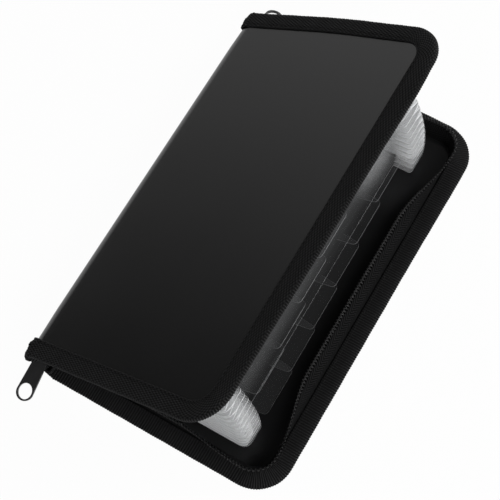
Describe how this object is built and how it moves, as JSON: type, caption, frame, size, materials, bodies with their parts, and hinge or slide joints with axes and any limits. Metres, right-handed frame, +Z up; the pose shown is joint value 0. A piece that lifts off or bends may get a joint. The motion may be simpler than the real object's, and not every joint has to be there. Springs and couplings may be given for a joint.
{
  "type": "expanding file",
  "caption": "Zip-around expanding file: two bound plastic covers on a flexible spine, a coil zip with a pull at each end and a fan of frosted pockets with stepped index tabs.",
  "frame": {"origin": "middle of the overall box's footprint, on the surface that the back cover's binding lies on", "axes": "+X from the spine to the fore edge, +Y along the spine, +Z up through the covers"},
  "size_m": [0.119, 0.2206, 0.0817],
  "materials": {
    "cover_plastic": "satin black",
    "woven_tape": "woven black tape",
    "coil_nylon": "black nylon coil",
    "black_metal": "black enamel",
    "frosted_plastic": "frosted translucent sheet"
  },
  "bodies": {
    "back_cover": {"back_cover": "cover_plastic", "back_binding": "woven_tape", "back_zip_tape": "woven_tape", "back_zip_teeth": "coil_nylon", "back_leaf": "frosted_plastic", "spine_strip": "cover_plastic", "gusset_01": "frosted_plastic"},
    "front_cover": {"front_cover": "cover_plastic", "front_binding": "woven_tape", "front_zip_tape": "woven_tape", "front_zip_teeth": "coil_nylon"},
    "divider_01": {"divider_01": "frosted_plastic", "gusset_02": "frosted_plastic"},
    "divider_02": {"divider_02": "frosted_plastic", "gusset_03": "frosted_plastic"},
    "divider_03": {"divider_03": "frosted_plastic", "gusset_04": "frosted_plastic"},
    "divider_04": {"divider_04": "frosted_plastic", "gusset_05": "frosted_plastic"},
    "divider_05": {"divider_05": "frosted_plastic", "gusset_06": "frosted_plastic"},
    "divider_06": {"divider_06": "frosted_plastic", "gusset_07": "frosted_plastic"},
    "divider_07": {"divider_07": "frosted_plastic", "gusset_08": "frosted_plastic"},
    "divider_08": {"divider_08": "frosted_plastic", "gusset_09": "frosted_plastic"},
    "divider_09": {"divider_09": "frosted_plastic", "gusset_10": "frosted_plastic"},
    "divider_10": {"divider_10": "frosted_plastic", "gusset_11": "frosted_plastic"},
    "divider_11": {"divider_11": "frosted_plastic", "gusset_12": "frosted_plastic"},
    "divider_12": {"divider_12": "frosted_plastic", "gusset_13": "frosted_plastic"},
    "front_leaf": {"front_leaf": "frosted_plastic"},
    "low_slider": {"low_slider": "black_metal"},
    "low_pull": {"low_pull": "black_metal"},
    "high_slider": {"high_slider": "black_metal"},
    "high_pull": {"high_pull": "black_metal"}
  },
  "joints": [
    {"name": "cover_hinge", "type": "hinge", "parent": "back_cover", "child": "front_cover", "pos_m": [-0.0526, 0.0006, 0.0133], "axis": [0, -1, 0], "range_deg": [-30.7, 44], "deforming": ["spine_strip"]},
    {"name": "divider_01_fold", "type": "hinge", "parent": "back_cover", "child": "divider_01", "pos_m": [-0.0526, 0.0006, 0.0133], "axis": [0, -1, 0], "range_deg": [-1.79, 2.55], "deforming": ["gusset_01"]},
    {"name": "divider_02_fold", "type": "hinge", "parent": "divider_01", "child": "divider_02", "pos_m": [-0.0526, 0.0006, 0.0133], "axis": [0, -1, 0], "range_deg": [-1.79, 2.55], "deforming": ["gusset_02"]},
    {"name": "divider_03_fold", "type": "hinge", "parent": "divider_02", "child": "divider_03", "pos_m": [-0.0526, 0.0006, 0.0133], "axis": [0, -1, 0], "range_deg": [-1.79, 2.55], "deforming": ["gusset_03"]},
    {"name": "divider_04_fold", "type": "hinge", "parent": "divider_03", "child": "divider_04", "pos_m": [-0.0526, 0.0006, 0.0133], "axis": [0, -1, 0], "range_deg": [-1.79, 2.55], "deforming": ["gusset_04"]},
    {"name": "divider_05_fold", "type": "hinge", "parent": "divider_04", "child": "divider_05", "pos_m": [-0.0526, 0.0006, 0.0133], "axis": [0, -1, 0], "range_deg": [-1.79, 2.55], "deforming": ["gusset_05"]},
    {"name": "divider_06_fold", "type": "hinge", "parent": "divider_05", "child": "divider_06", "pos_m": [-0.0526, 0.0006, 0.0133], "axis": [0, -1, 0], "range_deg": [-1.79, 2.55], "deforming": ["gusset_06"]},
    {"name": "divider_07_fold", "type": "hinge", "parent": "divider_06", "child": "divider_07", "pos_m": [-0.0526, 0.0006, 0.0133], "axis": [0, -1, 0], "range_deg": [-1.79, 2.55], "deforming": ["gusset_07"]},
    {"name": "divider_08_fold", "type": "hinge", "parent": "divider_07", "child": "divider_08", "pos_m": [-0.0526, 0.0006, 0.0133], "axis": [0, -1, 0], "range_deg": [-1.79, 2.55], "deforming": ["gusset_08"]},
    {"name": "divider_09_fold", "type": "hinge", "parent": "divider_08", "child": "divider_09", "pos_m": [-0.0526, 0.0006, 0.0133], "axis": [0, -1, 0], "range_deg": [-1.79, 2.55], "deforming": ["gusset_09"]},
    {"name": "divider_10_fold", "type": "hinge", "parent": "divider_09", "child": "divider_10", "pos_m": [-0.0526, 0.0006, 0.0133], "axis": [0, -1, 0], "range_deg": [-1.79, 2.55], "deforming": ["gusset_10"]},
    {"name": "divider_11_fold", "type": "hinge", "parent": "divider_10", "child": "divider_11", "pos_m": [-0.0526, 0.0006, 0.0133], "axis": [0, -1, 0], "range_deg": [-1.79, 2.55], "deforming": ["gusset_11"]},
    {"name": "divider_12_fold", "type": "hinge", "parent": "divider_11", "child": "divider_12", "pos_m": [-0.0526, 0.0006, 0.0133], "axis": [0, -1, 0], "range_deg": [-1.79, 2.55], "deforming": ["gusset_12"]},
    {"name": "front_leaf_fold", "type": "hinge", "parent": "divider_12", "child": "front_leaf", "pos_m": [-0.0526, 0.0006, 0.0133], "axis": [0, -1, 0], "range_deg": [-9.46, 13.55], "deforming": ["gusset_13"]},
    {"name": "low_slider_run", "type": "slide", "parent": "back_cover", "child": "low_slider", "axis": [1, 0, 0], "range_m": [0, 0.055]},
    {"name": "low_pull_swing", "type": "hinge", "parent": "low_slider", "child": "low_pull", "pos_m": [-0.05565, -0.09, 0.0133], "axis": [1, 0, 0], "range_deg": [-48, 18]},
    {"name": "high_slider_run", "type": "slide", "parent": "back_cover", "child": "high_slider", "axis": [1, 0, 0], "range_m": [0, 0.055]},
    {"name": "high_pull_swing", "type": "hinge", "parent": "high_slider", "child": "high_pull", "pos_m": [-0.05565, 0.0912, 0.0133], "axis": [-1, 0, 0], "range_deg": [-57, 9]}
  ],
  "couplings": [
    {"joint": "divider_01_fold", "follows": "cover_hinge", "ratio": 0.0577},
    {"joint": "divider_02_fold", "follows": "cover_hinge", "ratio": 0.0577},
    {"joint": "divider_03_fold", "follows": "cover_hinge", "ratio": 0.0577},
    {"joint": "divider_04_fold", "follows": "cover_hinge", "ratio": 0.0577},
    {"joint": "divider_05_fold", "follows": "cover_hinge", "ratio": 0.0577},
    {"joint": "divider_06_fold", "follows": "cover_hinge", "ratio": 0.0577},
    {"joint": "divider_07_fold", "follows": "cover_hinge", "ratio": 0.0577},
    {"joint": "divider_08_fold", "follows": "cover_hinge", "ratio": 0.0577},
    {"joint": "divider_09_fold", "follows": "cover_hinge", "ratio": 0.0577},
    {"joint": "divider_10_fold", "follows": "cover_hinge", "ratio": 0.0577},
    {"joint": "divider_11_fold", "follows": "cover_hinge", "ratio": 0.0577},
    {"joint": "divider_12_fold", "follows": "cover_hinge", "ratio": 0.0577},
    {"joint": "front_leaf_fold", "follows": "cover_hinge", "ratio": 0.3076}
  ]
}
